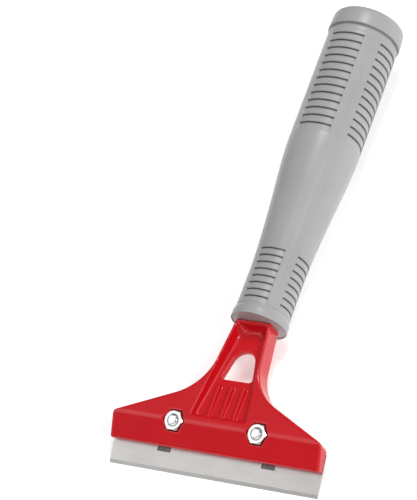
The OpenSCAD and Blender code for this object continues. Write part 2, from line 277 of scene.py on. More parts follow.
def ring_points(r: np.ndarray, z: np.ndarray, theta: np.ndarray) -> np.ndarray:
    """Points at radius r and height z (each rows, or rows by cols) for every angle in theta."""
    r2, z2 = (a if a.ndim == 2 else a[:, None] for a in (np.asarray(r, float), np.asarray(z, float)))
    r2, z2, t = np.broadcast_arrays(r2, z2, theta[None, :])
    return np.stack([r2 * np.cos(t), r2 * np.sin(t), z2], -1)


def turn_angles(count: int) -> np.ndarray:
    """Angles evenly spaced round a full turn."""
    return np.linspace(0, 2 * math.pi, count, endpoint=False)


def round_edge(corner: tuple[float, float], before: tuple[float, float], after: tuple[float, float],
               r: float, steps: int = 5) -> list[tuple[float, float]]:
    """Points of a rounded corner of a profile: a quadratic curve from r before the corner to r after it.

    Args:
        corner: the sharp corner.
        before: the profile's point before it.
        after: the profile's point after it.
        r: distance from the corner at which the curve starts and ends.
        steps: number of pieces in the curve.

    Returns:
        The curve's points.
    """
    c, a, b = (np.array(p, float) for p in (corner, before, after))
    p0 = c + (a - c) / np.linalg.norm(a - c) * r
    p2 = c + (b - c) / np.linalg.norm(b - c) * r
    t = np.linspace(0, 1, steps + 1)[:, None]
    return [tuple(p) for p in (1 - t) ** 2 * p0 + 2 * t * (1 - t) * c + t * t * p2]


def rounded_loop(points: list[tuple[float, float, float]]) -> np.ndarray:
    """A closed profile through points (r, z, rounding), each corner rounded by its own amount."""
    out: list[tuple[float, float]] = []
    n = len(points)
    for i, (r, z, edge) in enumerate(points):
        if edge <= 0:
            out.append((r, z))
        else:
            out += round_edge((r, z), points[i - 1][:2], points[(i + 1) % n][:2], edge)
    return np.array(out)


# ---- Distance fields and their skin ----


def meet(a: np.ndarray, b: np.ndarray, r: float) -> np.ndarray:
    """Field of what lies in both a and b, its edge rounded to radius r.

    Inside both by more than r it is the larger field; near the edge it is the distance to a
    quarter circle of radius r.
    """
    u = np.hypot(np.maximum(a + r, 0), np.maximum(b + r, 0))
    return np.minimum(-r, np.maximum(a, b)) + u


def join(a: np.ndarray, b: np.ndarray, r: float) -> np.ndarray:
    """Field of what lies in a or b, with a fillet of radius r where they meet."""
    return -meet(-a, -b, r)


def cut(a: np.ndarray, b: np.ndarray, r: float) -> np.ndarray:
    """Field of a with b taken out, the new edge rounded to radius r."""
    return meet(a, -b, r)


def surface_net(values: np.ndarray, low: np.ndarray, step: float) -> tuple[np.ndarray, np.ndarray]:
    """Skins a sampled field where it changes sign.

    Each cell that the surface crosses gets one vertex, the mean of the crossings on its edges, and
    each lattice edge with a sign change gets one face through the four cells round it.

    Args:
        values: field on a lattice, negative inside.
        low: place of the lattice's first point.
        step: spacing of the lattice.

    Returns:
        Vertices (N, 3) and faces (M, 4) that point outwards.
    """
    inside = values < 0
    nx, ny, nz = values.shape

    def corner(a: np.ndarray, o: tuple[int, int, int]) -> np.ndarray:
        """The lattice's value at one corner of every cell."""
        return a[o[0]:nx - 1 + o[0], o[1]:ny - 1 + o[1], o[2]:nz - 1 + o[2]]

    offsets = list(product((0, 1), repeat=3))
    count = sum(corner(inside, o).astype(np.int8) for o in offsets)
    active = (count > 0) & (count < 8)
    number = np.full(active.shape, -1, np.int64)
    number[active] = np.arange(active.sum())
    at = {o: corner(values, o)[active] for o in offsets}
    total = np.zeros((int(active.sum()), 3))
    hits = np.zeros(len(total))
    for a, b in product(offsets, offsets):
        if sum(b) - sum(a) != 1 or any(q < p for p, q in zip(a, b)):
            continue
        crossed = (at[a] < 0) != (at[b] < 0)
        t = np.where(crossed, at[a] / np.where(crossed, at[a] - at[b], 1), 0)
        place = np.array(a) + t[:, None] * (np.array(b) - np.array(a))
        total += place * crossed[:, None]
        hits += crossed
    verts = (np.argwhere(active) + total / hits[:, None]) * step + low
    faces = []
    for axis in range(3):
        u, v = (axis + 1) % 3, (axis + 2) % 3
        near, far = [slice(1, -1)] * 3, [slice(1, -1)] * 3
        near[axis], far[axis] = slice(0, -1), slice(1, None)
        change = inside[tuple(near)] != inside[tuple(far)]
        base = np.argwhere(change)
        grow = inside[tuple(near)][change]
        lattice = base + 1
        lattice[:, axis] -= 1
        cells = []
        for du, dv in ((-1, -1), (0, -1), (0, 0), (-1, 0)):
            at_cell = lattice.copy()
            at_cell[:, u] += du
            at_cell[:, v] += dv
            cells.append(number[tuple(at_cell.T)])
        quad = np.stack(cells, 1)
        faces.append(np.where(grow[:, None], quad, quad[:, ::-1]))
    return verts, np.vstack(faces)


def settle(verts: np.ndarray, sample, step: float, rounds: int = 4) -> np.ndarray:
    """Moves vertices onto a field's zero level along its gradient.

    Args:
        verts: (N, 3) places.
        sample: the field, a function of three arrays.
        step: no vertex moves further than half of this.
        rounds: number of Newton steps.

    Returns:
        The moved vertices.
    """
    h = 0.01
    p = verts.copy()
    for _ in range(rounds):
        value = sample(*p.T)
        slope = np.stack([
            (sample(*(p + d).T) - sample(*(p - d).T)) / (2 * h) for d in np.eye(3) * h], 1)
        move = -slope * (value / np.maximum((slope ** 2).sum(1), 0.05))[:, None]
        p = verts + np.clip(p + move - verts, -step / 2, step / 2)
    return p


# ---- Shader building ----


class Sig:
    """A shader socket that takes part in Python arithmetic by adding Math nodes."""

    def __init__(self, shader: "Shader", socket: bpy.types.NodeSocket) -> None:
        self.shader = shader
        self.socket = socket

    def _math(self, operation: str, *values: "Sig | float", clamp: bool = False) -> "Sig":
        """One Math node on the values."""
        return self.shader.add("ShaderNodeMath", {"operation": operation, "use_clamp": clamp}, *values)

    def __add__(self, other: "Sig | float") -> "Sig":
        """Sum."""
        return self._math("ADD", self, other)

    def __radd__(self, other: float) -> "Sig":
        """Sum with a number on the left."""
        return self._math("ADD", other, self)

    def __sub__(self, other: "Sig | float") -> "Sig":
        """Difference."""
        return self._math("SUBTRACT", self, other)

    def __rsub__(self, other: float) -> "Sig":
        """Difference from a number on the left."""
        return self._math("SUBTRACT", other, self)

    def __mul__(self, other: "Sig | float") -> "Sig":
        """Product."""
        return self._math("MULTIPLY", self, other)

    def __rmul__(self, other: float) -> "Sig":
        """Product with a number on the left."""
        return self._math("MULTIPLY", other, self)

    def __abs__(self) -> "Sig":
        """Size without sign."""
        return self._math("ABSOLUTE", self)

    def smooth(self, low: float, high: float) -> "Sig":
        """0 below low, 1 above high and a smooth step between."""
        return self.shader.add("ShaderNodeMapRange", {"interpolation_type": "SMOOTHSTEP"},
                               self, low, high, 0.0, 1.0)

    def clamp(self) -> "Sig":
        """Held between 0 and 1."""
        return self._math("ADD", self, 0.0, clamp=True)


class Shader:
    """A material whose nodes are added one call at a time round one Principled shader."""

    def __init__(self, name: str) -> None:
        self.material = bpy.data.materials.new(name)
        self.material.use_nodes = True
        self.tree = self.material.node_tree
        self.main = next(n for n in self.tree.nodes if n.type == "BSDF_PRINCIPLED")
        self.coords = self.add("ShaderNodeTexCoord", {}, output="Object")

    def add(self, kind: str, settings: dict, *values: "Sig | float | tuple | None",
            output: str | int = 0, **named: "Sig | float | tuple") -> Sig:
        """Adds one node.

        Args:
            kind: the node's type.
            settings: properties set before the sockets, such as an operation.
            values: values or links of the first sockets, in order; None leaves one as it is.
            output: name or number of the output to give back.
            named: values or links of sockets by name, with spaces written as underscores.

        Returns:
            The output, ready for arithmetic.
        """
        node = self.tree.nodes.new(kind)
        for key, value in settings.items():
            setattr(node, key, value)
        for socket, value in zip([s for s in node.inputs if s.enabled], values):
            self.feed(socket, value)
        for key, value in named.items():
            self.feed(node.inputs[key.replace("_", " ")], value)
        return Sig(self, node.outputs[output])

    def feed(self, socket: bpy.types.NodeSocket, value: "Sig | float | tuple | None") -> None:
        """Links or sets one socket."""
        if isinstance(value, Sig):
            self.tree.links.new(value.socket, socket)
        elif isinstance(value, tuple) and socket.type == "RGBA":
            socket.default_value = (*value, 1.0)
        elif value is not None:
            socket.default_value = value

    def noise(self, scale: float, detail: float = 4.0,
              stretch: tuple[float, float, float] = (1, 1, 1)) -> Sig:
        """Noise on object coordinates, from 0 to 1; scale is in cells per metre."""
        where = self.add("ShaderNodeVectorMath", {"operation": "MULTIPLY"}, self.coords, stretch)
        return self.add("ShaderNodeTexNoise", {}, Vector=where, Scale=scale, Detail=detail)

    def along(self, direction: np.ndarray, origin: np.ndarray) -> Sig:
        """Distance in metres along a direction from an origin, both in the row frame."""
        shifted = self.add("ShaderNodeVectorMath", {"operation": "SUBTRACT"}, self.coords,
                           tuple(float(v) for v in origin))
        return self.add("ShaderNodeVectorMath", {"operation": "DOT_PRODUCT"}, shifted,
                        tuple(float(v) for v in direction), output="Value")

    def mix(self, factor: Sig, a: "tuple | Sig", b: "tuple | Sig") -> Sig:
        """A colour between a and b."""
        node = self.tree.nodes.new("ShaderNodeMix")
        node.data_type = "RGBA"
        colours = [s for s in node.inputs if s.type == "RGBA"]
        self.feed(node.inputs[0], factor)
        self.feed(colours[0], a)
        self.feed(colours[1], b)
        return Sig(self, next(s for s in node.outputs if s.type == "RGBA"))

    def bump(self, height: Sig, depth: float, strength: float = 1.0) -> Sig:
        """A normal from a height; depth is in metres."""
        return self.add("ShaderNodeBump", {}, Height=height, Distance=depth, Strength=strength)

    def set(self, **sockets: "Sig | float | tuple") -> bpy.types.Material:
        """Sets or links the Principled shader's sockets and gives back the material."""
        for key, value in sockets.items():
            self.feed(self.main.inputs[key.replace("_", " ")], value)
        return self.material


@dataclass(frozen=True)
class RedPaint:
    """Glossy paint over a die casting, with a faint orange peel and dust in the broad faces."""

    colour: tuple[float, float, float] = (0.68, 0.003, 0.010)
    deep: tuple[float, float, float] = (0.60, 0.002, 0.008)
    roughness: float = 0.24

    def build(self) -> bpy.types.Material:
        """Builds the material."""
        s = Shader("red_paint")
        broad = s.noise(55.0, 3.0)
        peel = s.noise(900.0, 2.0)
        specks = s.noise(2600.0, 1.0).smooth(0.68, 0.74)
        return s.set(
            Base_Color=s.mix(broad, self.deep, self.colour),
            Roughness=(self.roughness + (broad - 0.5) * 0.10 + specks * 0.06).clamp(),
            Coat_Weight=0.2, Coat_Roughness=0.06, IOR=1.5,
            Normal=s.bump(peel + specks * 0.3, 0.00003, 0.5))


@dataclass(frozen=True)
class MouldedPlastic:
    """Satin moulded plastic with a fine spark-eroded grain, slight cloudiness and painted shade under each
    ladder step's edge.
    """

    name: str
    colour: tuple[float, float, float] = (0.385, 0.384, 0.39)
    worn: tuple[float, float, float] = (0.45, 0.448, 0.452)
    # Painted shade: the near-black colour painted under each ladder step's edge.
    crease: tuple[float, float, float] = (0.012, 0.012, 0.012)
    roughness: float = 0.34

    def build(self) -> bpy.types.Material:
        """Builds the material."""
        s = Shader(self.name)
        cloud = s.noise(38.0, 4.0)
        grain = s.noise(5200.0, 2.0)
        scuff = s.noise(240.0, 5.0, (6.0, 1.0, 6.0)).smooth(0.60, 0.74)
        tone = (cloud.smooth(0.3, 0.7) * 0.5 + scuff * 0.35).clamp()
        # Painted shade: where the sunk attribute nears 1, under each ladder step's edge, the colour goes
        # over to the near-black painted shade.
        sunk = s.add("ShaderNodeAttribute", {"attribute_name": SUNK}, output="Fac")
        return s.set(
            Base_Color=s.mix(sunk.smooth(0.68, 0.95), s.mix(tone, self.colour, self.worn), self.crease),
            Roughness=(self.roughness + (grain - 0.5) * 0.10 + scuff * 0.08).clamp(),
            IOR=1.46,
            Normal=s.bump(grain + cloud * 0.4, 0.00003, 0.35))


@dataclass(frozen=True)
class GroundSteel:
    """Satin spring steel ground along its length, brighter on the bevel at the sharp edge."""

    frame: ToolFrame
    bevel_h: float = 1.6
    colour: tuple[float, float, float] = (0.70, 0.685, 0.665)
    bright: tuple[float, float, float] = (0.86, 0.85, 0.84)

    def build(self) -> bpy.types.Material:
        """Builds the material."""
        s = Shader("blade_steel")
        lines = s.noise(700.0, 3.0, (0.08, 1.0, 1.0))
        fine = s.noise(3200.0, 2.0, (0.05, 1.0, 1.0))
        cloud = s.noise(60.0, 3.0)
        height = s.along(self.frame.blade_up, self.frame.edge)
        bevel = 1 - height.smooth((self.bevel_h - 0.15) * MM, (self.bevel_h + 0.1) * MM)
        tone = (bevel * 0.8 + lines * 0.35 - 0.1).clamp()
        return s.set(
            Base_Color=s.mix(tone, self.colour, self.bright),
            Metallic=1.0,
            Roughness=(0.40 + (fine - 0.5) * 0.16 + (cloud - 0.5) * 0.12).clamp(),
            Normal=s.bump(lines + fine * 0.5, 0.00002, 0.3))


@dataclass(frozen=True)
class PlatedMetal:
    """Zinc plate or blackened steel: a metal with cloudy tone, small pits and a set gloss."""

    name: str
    colour: tuple[float, float, float]
    shade: tuple[float, float, float]
    roughness: float
    metallic: float = 1.0
    pits: float = 0.000004

    def build(self) -> bpy.types.Material:
        """Builds the material."""
        s = Shader(self.name)
        cloud = s.noise(320.0, 4.0)
        pit = s.noise(1900.0, 3.0)
        return s.set(
            Base_Color=s.mix(cloud.smooth(0.3, 0.7), self.shade, self.colour),
            Metallic=self.metallic,
            Roughness=(self.roughness + (cloud - 0.5) * 0.16).clamp(),
            Normal=s.bump(pit, self.pits, 0.4))


# ---- Putting a piece into the assembly ----


@dataclass
class Dresser:
    """Gives each finished piece its body and the finish of its slot, and hides the CAD node that it stands
    for.
    """

    finishes: dict[Slot, bpy.types.Material]

    def dress(self, piece: bpy.types.Object, node: str, body: str, slot: Slot) -> None:
        """Finishes a new piece that stands for a CAD node.

        Args:
            piece: the visual piece, in place.
            node: the CAD node that it stands for.
            body: the body that it rides on.
            slot: its material slot.
        """
        piece.data.materials.clear()
        piece.data.materials.append(self.finishes[slot])
        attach(piece, body)
        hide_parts(node)
        LOG.info("%s: %d faces, on %s", piece.name, len(piece.data.polygons), body)

    def finish_node(self, node: bpy.types.Object, slot: Slot) -> None:
        """Gives a CAD node that is shown as it is its finish."""
        for held in node.material_slots:
            held.material = self.finishes[slot]
        LOG.info("%s: CAD node in %s", node.name, slot.value)


# ---- Head ----


@dataclass
class Head:
    """The painted die-cast head with its neck, wings, pockets, window, ribs, nut seats and tang."""

    frame: ToolFrame
    width: float = 100.0
    reach: float = 10.2
    lip: tuple[float, float] = (0.081, -59.40)
    neck_front: float = 5.5
    neck_rear: float = 3.9
    neck_half: float = 8.3
    neck_len: float = 49.2
    neck_flare: float = 7.0
    wing_slope: float = 25.0
    wing_z: float = -48.9
    wing_fillet: float = 23.0
    seat_top: float = 18.3
    land_drop: float = 0.55
    shoulder_up: float = 30.0
    pocket_half: float = 7.3
    pocket_flare: float = 7.5
    pocket_top: float = -1.2
    pocket_low: float = -45.8
    pocket_depth: float = 4.6
    pocket_low_depth: float = 2.8
    floor_from: float = -4.2
    floor_to: float = -44.6
    pocket_draft: float = 2.0
    rear_depth: float = 2.6
    rear_low: float = -34.9
    window_mid: float = -18.4
    window_r: float = 5.6
    window_low: float = -26.6
    window_foot: float = 7.2
    window_corner: float = 1.9
    rib_count: int = 3
    rib_pitch: float = 6.0
    rib_w: float = 1.9
    rib_inset: float = 1.7
    rib_root: float = 4.0
    rib_top: float = -29.8
    bolt_x: float = 20.0
    bolt_up: float = 21.2
    hole_r: float = 2.75
    seat_af: float = 9.0
    seat_floor: float = 2.6
    tang: tuple[float, float, float] = (7.5, 4.1, 40.0)
    screw_hole: tuple[float, float] = (2.5, 18.0)
    edge_r: float = 0.9
    lattice: float = 0.42

    def section(self, y: np.ndarray, z: np.ndarray) -> np.ndarray:
        """The casting seen from its end: front face, sloping lower face, lip, blade seat and rear face."""
        up, out = self.frame.blade_coords(y, z)
        crest = np.array([-self.neck_front, -self.neck_len])
        run = np.array(self.lip) - crest
        normal = np.array([run[1], -run[0]]) / np.linalg.norm(run)
        slope = (y - crest[0]) * normal[0] + (z - crest[1]) * normal[1]
        front = meet(-self.neck_front - y, slope, 0.5)
        seat = np.maximum(-out, up - self.shoulder_up)
        land = np.maximum(-out - self.land_drop, np.maximum(self.seat_top - up, up - self.shoulder_up - 1))
        rear = meet(y - self.neck_rear, self.shoulder_up - up, 0.5)
        back = np.minimum(np.minimum(seat, land), rear)
        return meet(meet(front, self.reach - up, self.edge_r), back, 0.45)

    def outline(self, x: np.ndarray, z: np.ndarray) -> np.ndarray:
        """The casting seen from the front: flaring neck, an arc of the fillet's radius, sloping wings."""
        ax = np.abs(x)
        flare, slope = math.radians(self.neck_flare), math.radians(self.wing_slope)
        side = (ax - self.neck_half) * math.cos(flare) + z * math.sin(flare)
        wing = (ax - self.width / 2) * math.sin(slope) + (z - self.wing_z) * math.cos(slope)
        rows = np.array([[math.cos(flare), math.sin(flare)], [math.sin(slope), math.cos(slope)]])
        known = np.array([
            self.wing_fillet + self.neck_half * math.cos(flare),
            self.wing_fillet + self.width / 2 * math.sin(slope) + self.wing_z * math.cos(slope)])
        cx, cz = np.linalg.solve(rows, known)
        angle = np.arctan2(cz - z, cx - ax)
        hollow = (angle > flare) & (angle < math.pi / 2 - slope)
        sharp = np.minimum(side, wing)
        blended = np.where(hollow, self.wing_fillet - np.hypot(ax - cx, z - cz), sharp)
        tipped = meet(blended, ax - self.width / 2, 1.6)
        return meet(tipped, z, 0.5)

    def drafted(self, x: np.ndarray, z: np.ndarray, depth: np.ndarray, floor: float | np.ndarray,
                top: float, low: float, inset: float) -> np.ndarray:
        """A pocket that narrows as it goes in.

        Args:
            x: across.
            z: up.
            depth: distance in from the face that the pocket starts on.
            floor: depth of its floor.
            top: height of its top edge on that face.
            low: height of its bottom edge on that face.
            inset: how far it starts in from the front pocket's edge.

        Returns:
            Its field, negative in the hollow.
        """
        shift = inset + self.pocket_draft * np.clip(depth, -1, None) / self.pocket_depth
        flare = math.radians(self.pocket_flare)
        lean = math.cos(math.atan(self.pocket_draft / self.pocket_depth))
        side = (np.abs(x) - (self.pocket_half - z * math.tan(flare) - shift)) * math.cos(flare) * lean
        corner = 1.2 + 0.8 * np.clip(depth, 0, self.pocket_depth)
        ends = meet(meet(side, (z - top + shift) * lean, corner), (low + shift - z) * lean, 1.1)
        return meet(ends, depth - floor, 0.8)

    def window(self, x: np.ndarray, z: np.ndarray) -> np.ndarray:
        """The window: a circle at the top, straight sides that touch it, and a flat foot."""
        corner = np.array([self.window_foot - self.window_corner, self.window_low + self.window_corner])
        run = corner - np.array([0, self.window_mid])
        angle = math.atan2(run[1], run[0]) + math.acos(
            (self.window_r - self.window_corner) / np.linalg.norm(run))
        ax, dz = np.abs(x), z - self.window_mid
        side = ax * math.cos(angle) + dz * math.sin(angle) - self.window_r
        foot = meet(side, self.window_low - z, self.window_corner)
        return np.where(np.arctan2(dz, ax) > angle, np.hypot(ax, dz) - self.window_r, foot)

    def field(self, x: np.ndarray, y: np.ndarray, z: np.ndarray) -> np.ndarray:
        """The whole casting's field, negative inside the metal."""
        body = meet(self.section(y, z), self.outline(x, z), self.edge_r)
        depth = y + self.neck_front
        low_part = np.clip((self.floor_from - z) / (self.floor_from - self.floor_to), 0, 1)
        floor = self.pocket_depth - (self.pocket_depth - self.pocket_low_depth) * low_part
        pocket = self.drafted(x, z, depth, floor, self.pocket_top, self.pocket_low, 0.0)
        body = cut(body, pocket, 0.45)
        rear = self.drafted(x, z, self.neck_rear - y, self.rear_depth, self.pocket_top - 1,
                            self.rear_low, 1.0)
        body = cut(body, rear, 0.4)
        for i in range(self.rib_count):
            across = np.abs(x - (i - (self.rib_count - 1) / 2) * self.rib_pitch)
            bar = np.hypot(across, np.maximum(z - self.rib_top + self.rib_w / 2, 0)) - self.rib_w / 2
            rib = meet(meet(bar, self.rib_inset - depth, 0.7), self.pocket_low - 1 - z, 0.2)
            body = join(body, np.maximum(rib, depth - self.rib_root), 0.45)
        body = cut(body, self.window(x, z), 0.35)
        up, out = self.frame.blade_coords(y, z)
        u, v = np.abs(x) - self.bolt_x, up - self.bolt_up
        body = cut(body, np.hypot(u, v) - self.hole_r, 0.15)
        c, s = math.cos(math.radians(30)), math.sin(math.radians(30))
        flats = np.maximum(np.abs(v), np.maximum(np.abs(u * c + v * s), np.abs(u * c - v * s)))
        seat = meet(flats - self.seat_af / 2, self.seat_floor - out, 0.25)
        body = cut(body, seat, 0.35)
        return np.minimum(body, self.tang_field(x, y, z))

    def tang_field(self, x: np.ndarray, y: np.ndarray, z: np.ndarray) -> np.ndarray:
        """The tang inside the grip: a bar with rounded edges and a hole for the handle screw."""
        half_x, half_y, length = self.tang
        mid = (self.neck_rear - self.neck_front) / 2
        bar = meet(np.abs(x) - half_x, np.abs(y - mid) - half_y, 0.6)
        bar = meet(bar, np.maximum(z - length, -2 - z), 0.6)
        hole_r, hole_z = self.screw_hole
        return cut(bar, np.maximum(np.hypot(x, y - mid) - hole_r, hole_z - z), 0.3)

    def build(self, dresser: Dresser) -> None:
        """Samples the field, skins it and dresses the casting."""
        low = np.array([-self.width / 2, -self.neck_front, self.lip[1]]) - 1.5
        high = np.array([self.width / 2, self.neck_rear + 0.3, self.tang[2]]) + 1.5
        axes = [np.arange(a, b, self.lattice) for a, b in zip(low, high)]
        x, y, z = np.meshgrid(*axes, indexing="ij", sparse=True)
        verts, faces = surface_net(self.field(x, y, z), low, self.lattice)
        verts = settle(verts, self.field, self.lattice)
        piece = make_object("head", self.frame.place(verts), [faces], 60.0)
        dresser.dress(piece, "head_casting", "handle", Slot.RED_PAINT)


# ---- Clamp hardware ----


@dataclass
class Hardware:
    """Bolts, nuts, washers and the handle's screw."""

    frame: ToolFrame
    bolt_x: float = 20.0
    bolt_up: float = 21.2
    under_head: float = -4.0
    bolt_len: float = 11.4
    thread_r: float = 2.42
    thread_depth: float = 0.26
    thread_pitch: float = 0.8
    head_r: float = 4.5
    head_h: float = 2.3
    nut_af: float = 8.0
    nut_h: float = 4.0
    nut_floor: float = 2.6
    nut_bore: float = 2.5
    washer_r: tuple[float, float] = (2.75, 5.0)
    washer_t: float = 0.8
    plate_back: float = 2.1
    spring_r: tuple[float, float] = (2.62, 4.5)
    spring_t: float = 1.1
    split_deg: tuple[float, float] = (36.0, 384.0)
    screw_seat: float = 46.0
    screw_y: float = -0.8
    screw_len: float = 25.0
    screw_head: tuple[float, float] = (4.75, 3.2)

    def on_bolt(self, points: np.ndarray, side: Side) -> np.ndarray:
        """Carries a grid from a bolt's own axis, z out of the blade's face, into the row frame."""
        flat = points.reshape(-1, 3)
        placed = self.frame.place_blade(flat + [side.value * self.bolt_x, self.bolt_up, 0])
        return placed.reshape(points.shape)

    def on_screw(self, points: np.ndarray) -> np.ndarray:
        """Carries a grid from the handle screw's axis, z up from its seat, into the row frame."""
        flat = points.reshape(-1, 3)
        return self.frame.place(flat + [0, self.screw_y, self.screw_seat]).reshape(points.shape)

    def screw(self, head_r: float, head_h: float, length: float, cross: float) -> np.ndarray:
        """A pan-headed screw with its head down: z = 0 under the head, the shank up to length.

        The thread's radius falls by thread_depth times a triangle wave of height less angle, and
        the cross recess sinks the head's face where a point is within half a slot of either axis.

        Args:
            head_r: radius of the head.
            head_h: height of the head.
            length: length of the shank.
            cross: width of the cross recess.

        Returns:
            The grid of points, from the middle of the head's face to the shank's tip.
        """
        theta = turn_angles(96)
        edge_turn = np.linspace(0.1, 1, 7) * math.pi / 2
        face_r = np.concatenate([
            np.linspace(0.15, head_r - 0.9, 22), head_r - 0.9 * np.cos(edge_turn)])
        face_r = np.clip(np.sort(face_r), 0.1, head_r)
        near_rim = np.clip((face_r - head_r + 0.9) / 0.9, 0, 1)
        dome = head_h - 0.35 * (face_r / head_r) ** 2 - 0.75 * near_rim ** 3
        x, y = np.abs(face_r[:, None] * np.cos(theta)), np.abs(face_r[:, None] * np.sin(theta))
        thin, wide = np.minimum(x, y), np.maximum(x, y)
        arm = np.clip((0.62 - thin) / 0.14, 0, 1) * np.clip((cross / 2 - wide) / 0.2, 0, 1)
        face = ring_points(face_r, -(dome[:, None] - 1.5 * arm * np.clip(1.25 - wide / cross, 0, 1)), theta)
        rim = ring_points(np.array([head_r, head_r, head_r - 0.15, self.thread_r + 0.05]),
                          np.array([-head_h + 1.1, -0.15, 0.0, 0.0]), theta)
        z = np.arange(0.1, length - 0.7, self.thread_pitch / 8)
        wave = np.abs(((z[:, None] / self.thread_pitch - theta / (2 * math.pi)) % 1.0) * 2 - 1)
        fade = np.clip((z / 0.8), 0, 1)[:, None]
        shank = ring_points(self.thread_r - self.thread_depth * (1 - wave) * fade, z, theta)
        tip_r = np.array([self.thread_r - 0.12, 2.02, 1.9, 1.75, 1.2, 0.6, 0.1])
        tip_z = np.array([-0.6, -0.16, -0.05, -0.01, 0.0, 0.0, 0.0])
        tip = ring_points(tip_r, length + tip_z, theta)
        return np.concatenate([face, rim, shank, tip])

    def nut(self) -> np.ndarray:
        """A hexagon nut: its radius is the lesser of the hexagon's and a chamfer cone's at each height."""
        theta = turn_angles(144)
        turn = np.mod(theta, math.radians(60)) - math.radians(30)
        hexagon = self.nut_af / 2 / np.cos(turn)
        corner = self.nut_af / 2 / math.cos(math.radians(30))
        low_half = np.array([0.0, 0.06, 0.16, 0.3, 0.45, 0.6])
        z = np.concatenate([low_half, [self.nut_h / 2], self.nut_h - low_half[::-1]])
        from_end = np.minimum(z, self.nut_h - z)
        cone = self.nut_af / 2 - 0.12 + np.minimum(from_end, 0.6) / 0.6 * (corner - self.nut_af / 2 + 0.12)
        side = ring_points(np.minimum(hexagon[None, :], cone[:, None]), z, theta)
        sink = self.nut_bore + 0.3
        top = ring_points(np.array([sink + 0.6, sink, self.nut_bore, self.nut_bore]),
                          np.array([self.nut_h, self.nut_h, self.nut_h - 0.3, self.nut_h / 2]), theta)
        low = ring_points(np.array([self.nut_bore, sink, sink + 0.6]), np.array([0.3, 0.0, 0.0]), theta)
        return np.concatenate([side, top, low]) + [0, 0, self.nut_floor]

    def washer(self) -> np.ndarray:
        """A flat washer with slightly rounded edges."""
        inner, outer = self.washer_r
        loop = rounded_loop([(outer, 0, 0.2), (outer, self.washer_t, 0.2),
                             (inner, self.washer_t, 0.15), (inner, 0, 0.15)])
        return ring_points(loop[:, 0], loop[:, 1], turn_angles(96))

    def spring_washer(self, name: str, place) -> bpy.types.Object:
        """A split ring: a rounded rectangle carried round from one side of the split to the other.

        Args:
            name: the piece's name.
            place: function that carries a grid into the row frame.

        Returns:
            The piece.
        """
        inner, outer = self.spring_r
        loop = rounded_loop([(outer, 0, 0.2), (outer, self.spring_t, 0.2),
                             (inner, self.spring_t, 0.2), (inner, 0, 0.2)])
        a = np.radians(np.linspace(*self.split_deg, 80))[:, None]
        grid = np.stack([loop[:, 0] * np.cos(a), loop[:, 0] * np.sin(a),
                         np.broadcast_to(loop[:, 1], (80, len(loop)))], -1)
        return revolve(name, place(grid[::-1]), closed=False)

    def build(self, dresser: Dresser) -> None:
        """Makes and dresses both clamp sets and the handle's screw set."""
        screw = self.screw(self.head_r, self.head_h, self.bolt_len, 5.0) + [0, 0, self.under_head]
        for side in Side:
            word = side.word
            dresser.dress(revolve(f"bolt_{word}", self.on_bolt(screw, side), closed=False),
                          f"clamp_bolt_{word}", f"bolt_{word}", Slot.BRIGHT_ZINC)
            dresser.dress(revolve(f"nut_{word}", self.on_bolt(self.nut(), side)),
                          f"clamp_nut_{word}", "handle", Slot.BRIGHT_ZINC)
            washer = self.washer() - [0, 0, self.plate_back + self.washer_t]
            dresser.dress(revolve(f"washer_{word}", self.on_bolt(washer, side)),
                          f"flat_washer_{word}", "clamp", Slot.ZINC_PLATE)
            spring = self.spring_washer(
                f"split_washer_{word}", lambda g: self.on_bolt(g + [0, 0, self.under_head], side))
            dresser.dress(spring, f"spring_washer_{word}", "clamp", Slot.ZINC_PLATE)
        self.build_handle_set(dresser)

    def build_handle_set(self, dresser: Dresser) -> None:
        """Makes and dresses the screw, washer and spring washer inside the handle."""
        head_r, head_h = self.screw_head
        flip = np.array([1, -1, -1])
        screw = self.screw(head_r, head_h, self.screw_len, 5.4) * flip
        seat = [0, 0, self.washer_t + self.spring_t]
        dresser.dress(revolve("inner_screw", self.on_screw(screw + seat), closed=False),
                      "handle_screw", "handle", Slot.ZINC_PLATE)
        dresser.dress(revolve("inner_washer", self.on_screw(self.washer())),
                      "handle_washer", "handle", Slot.ZINC_PLATE)
        spring = self.spring_washer(
            "inner_split_washer", lambda g: self.on_screw(g + [0, 0, self.washer_t]))
        dresser.dress(spring, "handle_spring_washer", "handle", Slot.ZINC_PLATE)


# ---- Handle ----


